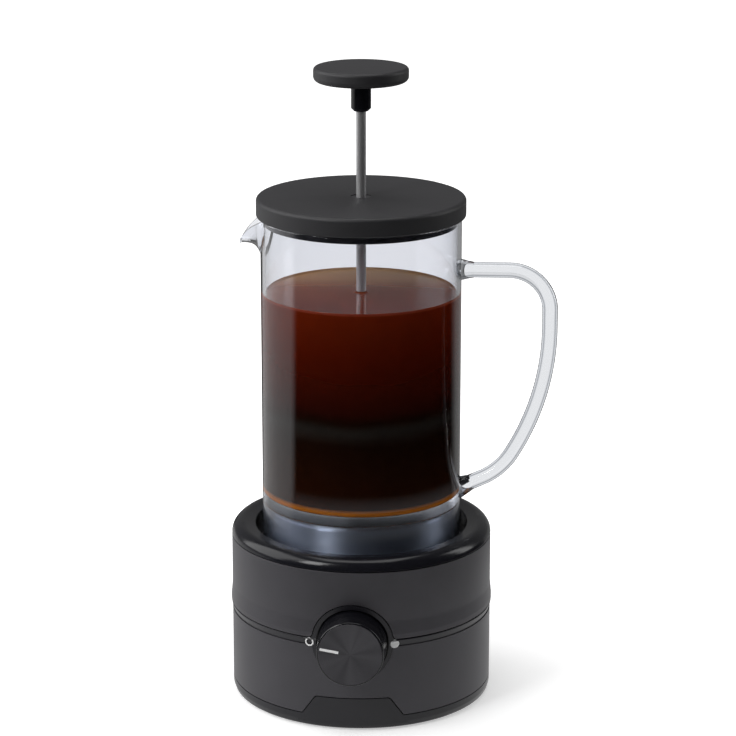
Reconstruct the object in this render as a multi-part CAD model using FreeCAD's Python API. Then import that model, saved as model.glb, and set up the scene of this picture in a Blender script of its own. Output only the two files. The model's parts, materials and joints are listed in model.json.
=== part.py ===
import FreeCAD, Part
import math
import os
from FreeCAD import Vector

# Cold brew coffee maker: a glass carafe with a plunger lid, standing in a round base whose motor
# turns a magnetic stirrer through the carafe's floor.
# Millimetres. +Z is up, the origin is the centre of the ring that the base stands on.
# The handle is on +X, the spout on -X and the control knob faces -Y.

# Clearances
slip_gap = 0.1          # between pieces that slide into each other at assembly
bearing_gap = 0.05      # between a shaft and the bush that it turns in
rest_gap = 0.3          # between a moving body and the face that it comes to rest on
glide_gap = 0.3         # between a piece that slides and the wall beside it
seam_gap = 0.45         # open seam between two outer pieces of the base

# Outer form of the base, from the table up
base_radius = 64.9      # outside of both sleeves
sleeve_wall = 1.2
foot_lift = 0.8         # the non-slip ring stands this far below the bottom cover
cover_height = 6.2
lower_sleeve_height = 35.9
band_height = 3.5
upper_sleeve_height = 34.35
collar_height = 6.1
bead_swell = 0.6        # the upper sleeve swells this far towards its lower edge
bead_height = 2.4
flare_height = 9.0
band_taper = 1.0        # the band under the bead narrows by this much towards the lower sleeve

# Bottom cover, non-slip ring and vents
cover_floor = 2.2
cover_edge_round = 1.6
foot_width = 7.0        # of the rubber ring that the base stands on
foot_height = 2.2
foot_edge_round = 0.5
cover_screw_radius = 1.5
cover_screw_head_radius = 2.8
cover_screw_head_height = 1.2
cover_screw_length = 13.0
cover_boss_radius = 4.6
cover_boss_height = 15.0
boss_overlap = 0.3      # the bosses reach this far into the chassis wall
foot_screw_gap = 2.0    # between the rubber ring and the screw heads
vent_count = 10
vent_inner_radius = 20.0
vent_length = 15.0
vent_width = 2.2

# Badge field of the bottom cover, at the front
badge_low_width = 49.6
badge_top_width = 36.2
badge_top_z = 16.8
badge_round = 2.6

# Chassis
chassis_wall = 2.0
ledge_width = 3.2
ledge_height = 2.5

# Knob, its bezel and its switch
knob_z = 45.2
knob_proud = 14.1       # the knob's face stands this far in front of the sleeves
knob_face_radius = 15.6
knob_face_height = 0.8
knob_rim_width = 0.55
knob_back_radius = 17.3
knob_wall = 1.8
knob_hub_radius = 5.5
knob_hub_gap = 0.6      # between the switch's threaded bush and the knob's hub
knob_angle = 10.0       # the pointer stands this far above level when the knob is off
pointer_width = 1.3
pointer_inner = 5.7
pointer_outer = 14.9
pointer_depth = 0.3
pointer_proud = 0.05
bezel_bore_gap = 0.5
bezel_ring_width = 2.0
bezel_depth = 4.9       # the bezel's floor lies this far behind the sleeves' face
bezel_floor_wall = 2.0
arch_fillet = 2.2       # where the sleeve's arch over the bezel runs into its lower edge
switch_width = 16.0
switch_depth = 9.5
switch_bush_radius = 3.6
switch_bush_length = 6.2
switch_shaft_radius = 2.8
switch_shaft_insert = 6.0
switch_nut_width = 10.0
switch_nut_height = 2.2

# Collar, well and pedestal
collar_round = 5.6
collar_width = 11.9     # from the sleeves' face in to the lip round the well
collar_lip_drop = 1.2   # the lip lies this far below the collar's crown
collar_lip_wall = 1.4
collar_skirt_wall = 1.9
well_depth = 10.5       # from the collar's crown to the well's floor
well_floor_wall = 2.0
well_wall = 1.8
well_lip_overhang = 0.4
drum_wall = 1.6
pedestal_wall = 0.8
pedestal_round = 1.6
seal_height = 1.0
seal_overhang = 0.7
seat_height = 1.2
seat_width = 3.6

# Carafe
well_side_gap = 3.7     # between the collar's lip and the jar
glass_wall = 2.0
jar_height = 164.5
skirt_height = 20.0     # glass foot below the raised floor
jar_floor = 4.5
jar_floor_round = 3.0
glass_edge_round = 0.9
pedestal_side_gap = 1.8
pedestal_top_gap = 1.5

# Spout: a beak pulled out of the wall
spout_overhang = 10.3   # from the jar's wall to the tip
spout_half_width = 14.5
spout_tip_drop = 13.0   # the tip lies this far below the rim
spout_depth = 17.5      # from the lip down to the beak's underside, at the wall
spout_wall = 1.6
spout_end_wall = 0.8    # least thickness, at the tip
spout_root_reach = 3.0  # the lip leaves the rim this far inside the wall
# Shares of overhang, half width, tip drop and depth at each section, from inside the wall to the tip
spout_sections = (
    (-0.60, 1.30, 0.00, 1.30),
    (0.00, 1.00, 0.15, 1.00),
    (0.26, 0.72, 0.31, 0.66),
    (0.53, 0.49, 0.49, 0.47),
    (0.80, 0.28, 0.75, 0.27),
    (1.00, 0.13, 1.00, 0.11),
)

# Handle: one bent glass rod in the plane Y = 0
handle_rod_radius = 3.9
handle_span = 43.5      # from the jar's wall to the grip's centre line
handle_top_drop = 26.5  # the top run lies this far below the rim
handle_bend_drop = 90.5
handle_heel_span = 19.85
handle_heel_drop = 129.0
handle_foot_drop = 137.9
handle_corner_radius = 20.0
handle_grip_radius = 124.0
handle_heel_radius = 33.0
handle_root_radius = 5.7
handle_root_length = 6.0

# Stirrer on the carafe's floor
stir_length = 58.0
stir_width = 12.0
stir_height = 4.4
stir_boss_radius = 9.0
stir_magnet_radius = 4.0
stir_magnet_height = 2.4
stir_magnet_cover = 0.6 # plastic above the magnets
magnet_circle = 20.0    # the magnets of stirrer and drive face each other on this circle

# Drive
shaft_radius = 1.6
holder_radius = 30.0
holder_height = 6.0
holder_gap = 1.3        # below the drum's ceiling
holder_hub_radius = 6.0
holder_hub_drop = 15.0
drive_magnet_radius = 7.0
drive_magnet_height = 4.0

# Motor and its bracket
motor_radius = 18.0
motor_length = 28.0
motor_wall = 1.0
motor_cap_height = 3.2
motor_cap_wall = 1.4
bush_radius = 4.5
bush_length = 4.5
rotor_radius = 13.0
rotor_length = 17.0
rotor_gap = 1.0
rotor_drop = 5.0        # below the can's end wall
rotor_slot_count = 8
rotor_slot_width = 1.6
stator_angle = 120.0
stator_drop = 4.0
stator_length = 19.0
shaft_grip_gap = 1.0    # the shaft ends this far below the magnet holder's top
bracket_wall = 1.5
bracket_width = 32.0
bracket_boss_inset = 2.9
bracket_boss_spread = 20.0
bracket_boss_radius = 3.8
bracket_boss_height = 8.0
isolator_height = 1.5
isolator_radius = 4.0
motor_screw_spread = 24.0
small_screw_radius = 1.4
small_head_radius = 2.7
small_head_height = 1.6
small_screw_grip = 5.0

# Cross recess of every screw head, as shares of the head's height and radius
recess_depth_share = 0.6
recess_arm_share = 1.1
recess_slot_share = 0.3

# Control board, at the back of the bottom cover
board_length = 62.0
board_width = 44.0
board_wall = 1.6
board_post_height = 9.0
board_post_radius = 3.0
board_offset_y = 14.0
board_screw_inset = 4.5
transformer_length = 30.0
transformer_width = 24.0
transformer_height = 14.0
transformer_foot_height = 3.0
transformer_core_length = 24.0
transformer_core_width = 20.4
winding_length = 13.5
winding_drop = 1.5      # the winding ends this far below the core's top
part_overlap = 0.5      # joined pieces of the board's parts run into each other by this much
board_edge_gap = 2.0    # between the transformer and the board's back edge
capacitor_radius = 5.0
capacitor_height = 13.0
capacitor_gap = 2.0     # from the transformer's side
capacitor_offset_y = 6.0
capacitor_low_round = 0.4
capacitor_top_round = 0.8
terminal_length = 15.0
terminal_width = 8.0
terminal_height = 8.0
terminal_edge_gap = 0.5
lead_radius = 0.8
lead_pitch = 5.0
lead_bend = 4.5
lead_drop_reach = 10.8  # the switch's leads turn down this far behind its lugs
lug_width = 1.6
lug_length = 4.0
lug_height = 0.8

# Inlet for the mains cord, at the back
gland_z = 19.0
gland_radius = 4.4
gland_bore = 3.2
gland_flange_radius = 6.4
gland_flange_height = 1.4
gland_depth = 6.0

# Lid
lid_overhang = 2.05     # the lid's edge stands this far outside the jar
lid_height = 9.2
lid_wall = 2.2
lid_top_wall = 2.4
lid_top_round = 1.9
lid_low_round = 0.6
insert_flange = 2.0
plug_drop = 4.0         # the plug reaches this far below the lid's rim
plug_gap = 0.5
plug_wall = 2.0
pour_slot_count = 7
pour_slot_width = 1.6
pour_slot_pitch = 4.0   # degrees
guide_tube_radius = 8.5
guide_bush_radius = 5.0
bush_drop = 0.3         # the rod's bush ends this far below the lid's top
lid_screw_circle = 30.0
lid_screw_radius = 1.25
lid_screw_head_radius = 2.5
lid_screw_head_height = 1.5
lid_screw_length = 6.0
lid_boss_radius = 3.4

# Plunger
rod_radius = 2.4
plunger_raise = 42.1    # from the lid's top to the hub, as it stands in use
hub_radius = 4.9
hub_height = 14.4
hub_chamfer = 1.4
disc_radius = 23.15
disc_height = 7.2
disc_top_round = 1.8
disc_low_round = 2.6
rod_insert = 10.0       # the rod's length inside the hub
filter_depth = 85.6     # from the lid's plug down to the filter's lowest plate
nut_width = 8.0
nut_height = 3.0
support_wall = 1.0
mesh_wall = 0.5
plate_wall = 0.8
plate_inset = 3.0
seal_wall_height = 4.4
seal_lip = 5.0
seal_groove = 1.2
collar_height_on_rod = 5.0
collar_radius_on_rod = 5.5
support_hole_radius = 1.7
support_ring_pitch = 5.4
support_ring_count = 6
plate_slot_count = 8
plate_slot_inner = 10.0
plate_slot_width = 4.0

# Heights and radii that follow from the sizes above
cover_low = foot_lift
cover_top = cover_low + cover_floor
cover_rim = cover_low + cover_height
lower_sleeve_low = cover_rim + seam_gap
lower_sleeve_top = lower_sleeve_low + lower_sleeve_height
band_low = lower_sleeve_top + slip_gap
band_top = band_low + band_height
upper_sleeve_low = band_top + seam_gap
upper_sleeve_top = upper_sleeve_low + upper_sleeve_height
collar_low = upper_sleeve_top + seam_gap
crown_z = collar_low + collar_height
well_floor_z = crown_z - well_depth
plate_low = well_floor_z - well_floor_wall
sleeve_inner = base_radius - sleeve_wall
chassis_outer = sleeve_inner - slip_gap
chassis_inner = chassis_outer - chassis_wall
screw_circle = chassis_inner - cover_boss_radius + boss_overlap
foot_radius = screw_circle - cover_screw_head_radius - foot_screw_gap - foot_width / 2
knob_reach = base_radius + knob_proud
bezel_floor_y = base_radius - bezel_depth
collar_lip_radius = base_radius - collar_width
jar_radius = collar_lip_radius - well_side_gap
handle_reach = jar_radius + handle_span
handle_heel_reach = jar_radius + handle_heel_span
lid_radius = jar_radius + lid_overhang
bead_radius = base_radius + bead_swell
jar_inner = jar_radius - glass_wall
jar_low = well_floor_z + seat_height + rest_gap
jar_top = jar_low + jar_height
jar_floor_low = jar_low + skirt_height
jar_floor_z = jar_floor_low + jar_floor
pedestal_radius = jar_inner - pedestal_side_gap
pedestal_top = jar_floor_low - pedestal_top_gap
drum_radius = pedestal_radius - pedestal_wall - slip_gap
bracket_boss_reach = drum_radius + bracket_boss_inset
drum_top = pedestal_top - pedestal_wall - slip_gap
drum_ceiling = drum_top - drum_wall
lip_low = crown_z - collar_lip_drop - collar_lip_wall
holder_top = drum_ceiling - holder_gap
holder_low = holder_top - holder_height
bracket_top = plate_low - bracket_boss_height
bracket_low = bracket_top - bracket_wall
motor_top = bracket_low - isolator_height
motor_low = motor_top - motor_length
board_low = cover_top + board_post_height
board_top = board_low + board_wall
bezel_bore = knob_back_radius + bezel_bore_gap
bezel_radius = bezel_bore + bezel_ring_width
bezel_back_y = bezel_floor_y - bezel_floor_wall
knob_back_y = bezel_floor_y + rest_gap
knob_face_y = knob_reach - knob_face_height
knob_hub_y = bezel_back_y + switch_bush_length + knob_hub_gap
knob_bore_radius = switch_shaft_radius + bearing_gap
lid_low = jar_top + rest_gap
lid_top = lid_low + lid_height
plug_low = lid_low - plug_drop
plug_radius = jar_inner - plug_gap
hub_low = lid_top + plunger_raise
disc_low = hub_low + hub_height
filter_low = plug_low - filter_depth
seal_radius = jar_inner - glide_gap
seal_inner = seal_radius - seal_lip
groove_radius = seal_inner + seal_groove

up = Vector(0, 0, 1)
centre = Vector(0, 0, 0)


def disc(radius, low, high, x=0, y=0):
    """Upright solid cylinder."""
    return Part.makeCylinder(radius, high - low, Vector(x, y, low))


def ring(inner_radius, outer_radius, low, high, x=0, y=0):
    """Upright tube."""
    return disc(outer_radius, low, high, x, y).cut(disc(inner_radius, low, high, x, y))


def block(size_x, size_y, low, high, x=0, y=0):
    """Upright block, centred on x and y."""
    return Part.makeBox(size_x, size_y, high - low, Vector(x - size_x / 2, y - size_y / 2, low))


def front_disc(radius, near, far, x=0, z=knob_z):
    """Cylinder along the knob's axis; near and far are distances in front of the base's axis."""
    return Part.makeCylinder(radius, far - near, Vector(x, -near, z), Vector(0, -1, 0))


def rounded_wire(corners, closed=True):
    """Straight runs through (point, radius) corners, with a tangent arc at each radius over zero."""
    count = len(corners)
    turns = []
    for index, (point, radius) in enumerate(corners):
        at_end = not closed and index in (0, count - 1)
        if radius == 0 or at_end:
            turns.append((point, None, point))
            continue
        before = (corners[index - 1][0] - point).normalize()
        after = (corners[(index + 1) % count][0] - point).normalize()
        half_angle = before.getAngle(after) / 2
        reach = radius / math.tan(half_angle)
        towards = (before + after).normalize()
        middle = point + towards * (radius / math.sin(half_angle) - radius)
        turns.append((point + before * reach, middle, point + after * reach))
    edges = []
    for index, (entry, middle, leave) in enumerate(turns):
        if middle is not None:
            edges.append(Part.Arc(entry, middle, leave).toShape())
        if closed or index < count - 1:
            following = turns[(index + 1) % count][0]
            if (following - leave).Length > 1e-6:
                edges.append(Part.makeLine(leave, following))
    return Part.Wire(edges)


def turned(profile):
    """Solid of revolution; the profile's corners are (radius, height) or (radius, height, rounding)."""
    corners = []
    for corner in profile:
        rounding = corner[2] if len(corner) > 2 else 0
        corners.append((Vector(corner[0], 0, corner[1]), rounding))
    return Part.Face(rounded_wire(corners)).revolve(centre, up, 360)


def front_turned(profile):
    """As turned, about the knob's axis; the corners are (radius, distance in front, rounding)."""
    solid = turned(profile)
    solid.rotate(centre, Vector(1, 0, 0), 90)
    solid.translate(Vector(0, 0, knob_z))
    return solid


def extruded(corners, start, travel):
    """Prism of a closed outline; the corners are (point, rounding)."""
    face = Part.Face(rounded_wire(corners))
    face.translate(start)
    return face.extrude(travel)


def hexagon(width, low, high, bore):
    """Upright nut, by its width across flats."""
    reach = width / 2 / math.cos(math.pi / 6)
    points = []
    for step in range(6):
        angle = math.pi / 3 * step
        points.append((Vector(reach * math.cos(angle), reach * math.sin(angle), low), 0))
    nut = Part.Face(rounded_wire(points)).extrude(Vector(0, 0, high - low))
    return nut.cut(disc(bore, low, high))


def turned_copies(shape, count, first=0.0):
    """Copies of a shape about the vertical axis, evenly spaced."""
    copies = []
    for step in range(count):
        copy = shape.copy()
        copy.rotate(centre, up, first + 360.0 / count * step)
        copies.append(copy)
    return copies


def joined(shapes):
    """One shape from overlapping ones."""
    result = shapes[0]
    if len(shapes) > 1:
        result = result.fuse(shapes[1:])
    return result.removeSplitter()


def without(shape, cutters):
    """A shape less each of the cutters."""
    for cutter in cutters:
        shape = shape.cut(cutter)
    return shape


def screw(radius, length, head_radius, head_height, head_low):
    """Screw that is driven upwards, its head's lower face at head_low, with a cross recess."""
    head_top = head_low + head_height
    body = disc(head_radius, head_low, head_top).fuse(disc(radius, head_top, head_top + length))
    recess_depth = head_height * recess_depth_share
    arm = head_radius * recess_arm_share
    slot = head_radius * recess_slot_share
    recess = block(arm, slot, head_low, head_low + recess_depth)
    recess = recess.fuse(block(slot, arm, head_low, head_low + recess_depth))
    return body.cut(recess)


def save(name, shapes):
    """Writes one node from one or more separate solids."""
    if not isinstance(shapes, list):
        shapes = [shapes]
    solids = []
    for shape in shapes:
        solids.extend(shape.Solids)
    for solid in solids:
        if not solid.isValid() or solid.Volume <= 0:
            print("not valid:", name)
    whole = solids[0] if len(solids) == 1 else Part.makeCompound(solids)
    whole.exportStep("parts/" + name + ".step")
    print(name, len(solids), round(whole.Volume / 1000, 2), "cm3")


# Bottom cover and what it stands on

def badge_outline(margin):
    """Trapezoid of the badge field, seen from the front, grown by a margin."""
    half_low = badge_low_width / 2 + margin
    half_top = badge_top_width / 2 + margin * 0.8
    deep = cover_low + cover_floor
    slope = (half_low - half_top) / (badge_top_z - cover_rim)
    half_deep = half_low + slope * (cover_rim - deep)
    top = badge_top_z + margin
    return [
        (Vector(-half_deep, 0, deep), 0),
        (Vector(half_deep, 0, deep), 0),
        (Vector(half_top, 0, top), badge_round),
        (Vector(-half_top, 0, top), badge_round),
    ]


def badge_prism(margin):
    """The badge field's outline pushed through the front of the base."""
    return extruded(badge_outline(margin), Vector(0, -base_radius * 0.7, 0), Vector(0, -base_radius, 0))


def screw_spots():
    """Angles of the four screws of the bottom cover."""
    return [45.0 + 90.0 * step for step in range(4)]


def board_posts(low, high, radius):
    """Upright cylinders under the corners of the control board."""
    posts = []
    for side_x in (-1, 1):
        for side_y in (-1, 1):
            x = side_x * (board_length / 2 - board_screw_inset)
            y = board_offset_y + side_y * (board_width / 2 - board_screw_inset)
            posts.append(disc(radius, low, high, x, y))
    return posts


def make_bottom_cover():
    inner_edge = base_radius - sleeve_wall
    tray = turned([
        (0, cover_low),
        (base_radius - cover_edge_round * 0.6, cover_low, cover_edge_round),
        (base_radius, cover_low + cover_edge_round * 2, cover_edge_round * 1.4),
        (base_radius, cover_rim),
        (inner_edge, cover_rim),
        (inner_edge, cover_top),
        (0, cover_top),
    ])
    skirt = ring(inner_edge, base_radius, cover_top, badge_top_z + badge_round)
    badge = skirt.common(badge_prism(0))
    posts = board_posts(cover_top - cover_floor / 2, board_low, board_post_radius)
    body = joined([tray, badge] + posts)
    cutters = []
    foot_half = foot_width / 2 + slip_gap
    cutters.append(ring(foot_radius - foot_half, foot_radius + foot_half, cover_low - 1, foot_height))
    head_pocket = disc(cover_screw_head_radius + slip_gap, cover_low - 1, cover_low + cover_screw_head_height,
                       screw_circle)
    shank_hole = disc(cover_screw_radius + slip_gap, cover_low, cover_top + 1, screw_circle)
    cutters.extend(turned_copies(head_pocket.fuse(shank_hole), 4, 45))
    vent_middle = vent_inner_radius + vent_length / 2
    vent = block(vent_length, vent_width, cover_low - 1, cover_top + 1, vent_middle)
    cutters.extend(turned_copies(vent, vent_count, 180.0 / vent_count))
    cutters.extend(board_posts(board_low - small_screw_grip, board_low, small_screw_radius))
    return without(body, cutters)


def make_non_slip_ring():
    half = foot_width / 2
    return turned([
        (foot_radius - half, 0, foot_edge_round),
        (foot_radius + half, 0, foot_edge_round),
        (foot_radius + half, foot_height),
        (foot_radius - half, foot_height),
    ])


def make_cover_screws():
    one = screw(cover_screw_radius, cover_screw_length, cover_screw_head_radius, cover_screw_head_height,
                cover_low)
    one.translate(Vector(screw_circle, 0, 0))
    return turned_copies(one, 4, 45)


# Chassis, sleeves and bezel

def make_chassis():
    wall = ring(chassis_inner, chassis_outer, cover_top, plate_low)
    ledge = turned([
        (chassis_inner + chassis_wall / 2, plate_low - ledge_height - ledge_width),
        (chassis_inner + chassis_wall / 2, plate_low),
        (chassis_inner - ledge_width, plate_low),
        (chassis_inner - ledge_width, plate_low - ledge_height),
    ])
    rim = ring(chassis_inner, chassis_outer, plate_low - 1, plate_low)
    boss = disc(cover_boss_radius, cover_top, cover_top + cover_boss_height, screw_circle)
    bosses = turned_copies(boss, 4, 45)
    body = joined([wall, ledge, rim] + bosses)
    body = body.common(disc(chassis_outer, cover_top, plate_low))
    pilot = disc(cover_screw_radius, cover_top - 1, cover_low + cover_screw_head_height + cover_screw_length,
                 screw_circle)
    cutters = turned_copies(pilot, 4, 45)
    cutters.append(front_disc(bezel_radius + slip_gap, chassis_inner * 0.7, base_radius * 1.2))
    cutters.append(gland_hole(gland_radius))
    return without(body, cutters)


def gland_hole(radius):
    """Hole for the cord inlet through the back of the base."""
    return Part.makeCylinder(radius + slip_gap, base_radius, Vector(0, chassis_inner * 0.7, gland_z),
                             Vector(0, 1, 0))


def arch_prism(radius, edge_z, fillet):
    """Arch about the knob's axis, with a fillet where it runs out into a level edge on each side."""
    rise = edge_z - knob_z
    side = math.sqrt((radius + fillet) ** 2 - (rise + fillet) ** 2)
    shrink = radius / (radius + fillet)
    touch_x = side * shrink
    touch_z = knob_z + (rise + fillet) * shrink
    fillet_middle = Vector(side - touch_x, 0, edge_z + fillet - touch_z)
    angle_low = -math.pi / 2
    angle_high = math.atan2(-fillet_middle.z, -fillet_middle.x)
    if angle_high > 0:
        angle_high -= 2 * math.pi
    middle_angle = (angle_low + angle_high) / 2
    low = edge_z - band_height / 2

    def fillet_arc(mirror):
        def at(angle):
            x = side + fillet * math.cos(angle)
            return Vector(mirror * x, 0, edge_z + fillet * (1 + math.sin(angle)))
        return Part.Arc(at(angle_low), at(middle_angle), at(angle_high)).toShape()

    crown = Vector(0, 0, knob_z + radius)
    top = Part.Arc(Vector(-touch_x, 0, touch_z), crown, Vector(touch_x, 0, touch_z)).toShape()
    floor = [
        Part.makeLine(Vector(side, 0, edge_z), Vector(side, 0, low)),
        Part.makeLine(Vector(side, 0, low), Vector(-side, 0, low)),
        Part.makeLine(Vector(-side, 0, low), Vector(-side, 0, edge_z)),
    ]
    edges = [top, fillet_arc(1)] + floor + [fillet_arc(-1)]
    wire = Part.Wire(Part.__sortEdges__(edges))
    face = Part.Face(wire)
    face.translate(Vector(0, -bezel_back_y, 0))
    return face.extrude(Vector(0, -knob_reach, 0))


def make_lower_sleeve():
    sleeve = ring(sleeve_inner, base_radius, lower_sleeve_low, lower_sleeve_top)
    cutters = [
        front_disc(bezel_radius + slip_gap, base_radius * 0.6, base_radius * 1.2),
        badge_prism(seam_gap),
        gland_hole(gland_radius),
    ]
    return without(sleeve, cutters)


def make_upper_sleeve():
    flare_top = upper_sleeve_low + flare_height
    sleeve = turned([
        (sleeve_inner, upper_sleeve_low),
        (bead_radius, upper_sleeve_low, 0.35),
        (bead_radius, upper_sleeve_low + bead_height, 3.0),
        (base_radius, flare_top, 12.0),
        (base_radius, upper_sleeve_top, 0.25),
        (sleeve_inner, upper_sleeve_top),
    ])
    return sleeve.cut(arch_prism(bezel_radius + seam_gap, upper_sleeve_low, arch_fillet))


def make_control_bezel():
    face_radius = base_radius + bead_swell / 2
    band = turned([
        (sleeve_inner, band_low),
        (bead_radius - band_taper, band_low),
        (bead_radius, band_top, 0.4),
        (sleeve_inner, band_top),
    ])
    arch = arch_prism(bezel_radius, band_top, arch_fillet + seam_gap)
    arch = arch.common(ring(sleeve_inner, face_radius, band_low, crown_z))
    tub = front_disc(bezel_radius, bezel_back_y, knob_reach).common(disc(face_radius, 0, crown_z))
    body = joined([band, tub, arch])
    recess = front_disc(bezel_bore, bezel_floor_y, base_radius * 1.2)
    bush_hole = front_disc(switch_bush_radius + slip_gap, bezel_back_y - 1, bezel_floor_y + 1)
    return without(body, [recess, bush_hole])


# Knob and switch

def make_rotary_switch():
    front = bezel_back_y
    case = Part.makeBox(switch_width, switch_depth, switch_width,
                        Vector(-switch_width / 2, -front, knob_z - switch_width / 2))
    bush = front_disc(switch_bush_radius, front - 1, front + switch_bush_length)
    lugs = []
    for side in (-1, 1):
        corner = Vector(side * lead_pitch / 2 - lug_width / 2, switch_depth - front, knob_z - lug_height / 2)
        lugs.append(Part.makeBox(lug_width, lug_length, lug_height, corner))
    body = joined([case, bush] + lugs)
    bore = front_disc(switch_shaft_radius + bearing_gap, front - switch_shaft_insert, front + switch_bush_length)
    return body.cut(bore)


def make_switch_nut():
    nut = hexagon(switch_nut_width, 0, switch_nut_height, switch_bush_radius)
    nut.rotate(centre, Vector(1, 0, 0), 90)
    nut.translate(Vector(0, -bezel_floor_y, knob_z))
    return nut


def shaft_flat(radius):
    """Region beyond the flat of the switch's shaft."""
    return Part.makeBox(radius * 2, base_radius, radius,
                        Vector(-radius, -knob_reach, knob_z + radius * 0.6))


def make_switch_shaft():
    back = bezel_back_y - switch_shaft_insert + rest_gap
    front = knob_face_y - knob_wall
    shaft = front_disc(switch_shaft_radius, back, front)
    flat_start = knob_hub_y - knob_hub_gap / 2
    return shaft.cut(shaft_flat(switch_shaft_radius).common(front_disc(knob_hub_radius, flat_start, front)))


def make_knob_body():
    rim_radius = knob_face_radius + knob_rim_width
    face_pocket = knob_face_radius + slip_gap
    front_wall = knob_face_y - knob_wall
    body = front_turned([
        (knob_back_radius, knob_back_y, 0.4),
        (rim_radius + 0.2, knob_reach - 0.2, 0.8),
        (face_pocket, knob_reach - 0.1),
        (face_pocket, knob_face_y),
        (0, knob_face_y),
        (0, knob_hub_y),
        (knob_hub_radius, knob_hub_y),
        (knob_hub_radius, front_wall),
        (rim_radius - knob_wall, front_wall, 1.0),
        (knob_back_radius - knob_wall, knob_back_y),
    ])
    bore = front_disc(knob_bore_radius, knob_hub_y - 1, front_wall)
    bore = bore.cut(shaft_flat(knob_bore_radius))
    return body.cut(bore)


def pointer_bar(proud):
    """Bar of the knob's pointer; off is to the left, a little above level."""
    bar = Part.makeBox(pointer_outer - pointer_inner, pointer_depth + proud, pointer_width,
                       Vector(-pointer_outer, -knob_reach - proud, -pointer_width / 2))
    bar.rotate(centre, Vector(0, 1, 0), knob_angle)
    bar.translate(Vector(0, 0, knob_z))
    return bar


def make_knob_face():
    face = front_turned([
        (0, knob_face_y),
        (knob_face_radius, knob_face_y),
        (knob_face_radius, knob_reach, 0.25),
        (0, knob_reach),
    ])
    return face.cut(pointer_bar(1.0))


def make_knob_pointer():
    return pointer_bar(pointer_proud)


# Collar, well, pedestal and seat

def make_top_collar():
    skirt_inner = chassis_outer - collar_skirt_wall
    lip_top = crown_z - collar_lip_drop
    return turned([
        (skirt_inner, plate_low),
        (chassis_outer, plate_low),
        (chassis_outer, collar_low),
        (base_radius, collar_low, 0.3),
        (base_radius, crown_z + 0.5, collar_round),
        (collar_lip_radius, lip_top, 0.6),
        (collar_lip_radius, lip_low),
        (skirt_inner - 1.5, lip_low),
        (skirt_inner, lip_low - 1.5),
    ])


def make_well_housing():
    plate_radius = chassis_outer - collar_skirt_wall - slip_gap
    wall_inner = collar_lip_radius + well_lip_overhang
    body = turned([
        (drum_radius - drum_wall, plate_low),
        (plate_radius, plate_low),
        (plate_radius, well_floor_z),
        (wall_inner + well_wall, well_floor_z),
        (wall_inner + well_wall, lip_low),
        (wall_inner, lip_low),
        (wall_inner, well_floor_z),
        (drum_radius, well_floor_z),
        (drum_radius, drum_top, pedestal_round),
        (0, drum_top),
        (0, drum_ceiling),
        (drum_radius - drum_wall, drum_ceiling, 1.0),
    ])
    bosses = bracket_posts(bracket_top, plate_low + well_floor_wall / 2, bracket_boss_radius)
    pilots = bracket_posts(bracket_top - 1, plate_low, small_screw_radius)
    return without(joined([body] + bosses), pilots)


def bracket_posts(low, high, radius):
    """Upright cylinders at the four fixings of the motor's bracket."""
    posts = []
    for side_x in (-1, 1):
        for side_y in (-1, 1):
            posts.append(disc(radius, low, high, side_x * bracket_boss_reach,
                              side_y * bracket_boss_spread / 2))
    return posts


def make_pedestal_cap():
    low = well_floor_z + seal_height
    inner = pedestal_radius - pedestal_wall
    return turned([
        (inner, low),
        (pedestal_radius, low),
        (pedestal_radius, pedestal_top, pedestal_round + pedestal_wall),
        (0, pedestal_top),
        (0, pedestal_top - pedestal_wall),
        (inner, pedestal_top - pedestal_wall, pedestal_round),
    ])


def make_pedestal_seal():
    return ring(drum_radius, pedestal_radius + seal_overhang, well_floor_z, well_floor_z + seal_height)


def make_carafe_seat():
    middle = jar_radius - glass_wall / 2
    top = well_floor_z + seat_height
    return turned([
        (middle - seat_width / 2, well_floor_z),
        (middle + seat_width / 2, well_floor_z),
        (middle + seat_width / 2, top, 0.4),
        (middle - seat_width / 2, top, 0.4),
    ])


# Motor, bracket and drive

def motor_screw_spots(low, high, radius):
    """Upright cylinders at the two screws of the motor."""
    return [disc(radius, low, high, 0, side * motor_screw_spread / 2) for side in (-1, 1)]


def make_motor_bracket():
    length = 2 * (bracket_boss_reach + bracket_boss_radius)
    plate = block(length, bracket_width, bracket_low, bracket_top)
    cutters = [disc(bush_radius + 1.0, bracket_low - 1, bracket_top + 1)]
    cutters.extend(bracket_posts(bracket_low - 1, bracket_top + 1, small_screw_radius + slip_gap))
    cutters.extend(motor_screw_spots(bracket_low - 1, bracket_top + 1, small_screw_radius + slip_gap))
    return without(plate, cutters)


def make_bracket_screws():
    screws = []
    head_low = bracket_low - small_head_height
    one = screw(small_screw_radius, small_screw_grip, small_head_radius, small_head_height, head_low)
    for side_x in (-1, 1):
        for side_y in (-1, 1):
            copy = one.copy()
            copy.translate(Vector(side_x * bracket_boss_reach, side_y * bracket_boss_spread / 2, 0))
            screws.append(copy)
    return screws


def make_motor_screws():
    screws = []
    for side in (-1, 1):
        y = side * motor_screw_spread / 2
        head = disc(small_head_radius, bracket_top, bracket_top + small_head_height, 0, y)
        shank = disc(small_screw_radius, motor_top - motor_wall, bracket_top, 0, y)
        screws.append(joined([head, shank]))
    return screws


def make_motor_isolators():
    pads = motor_screw_spots(motor_top, bracket_low, isolator_radius)
    holes = motor_screw_spots(motor_top, bracket_low, small_screw_radius)
    return [pads[0].cut(holes[0]), pads[1].cut(holes[1])]


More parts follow.
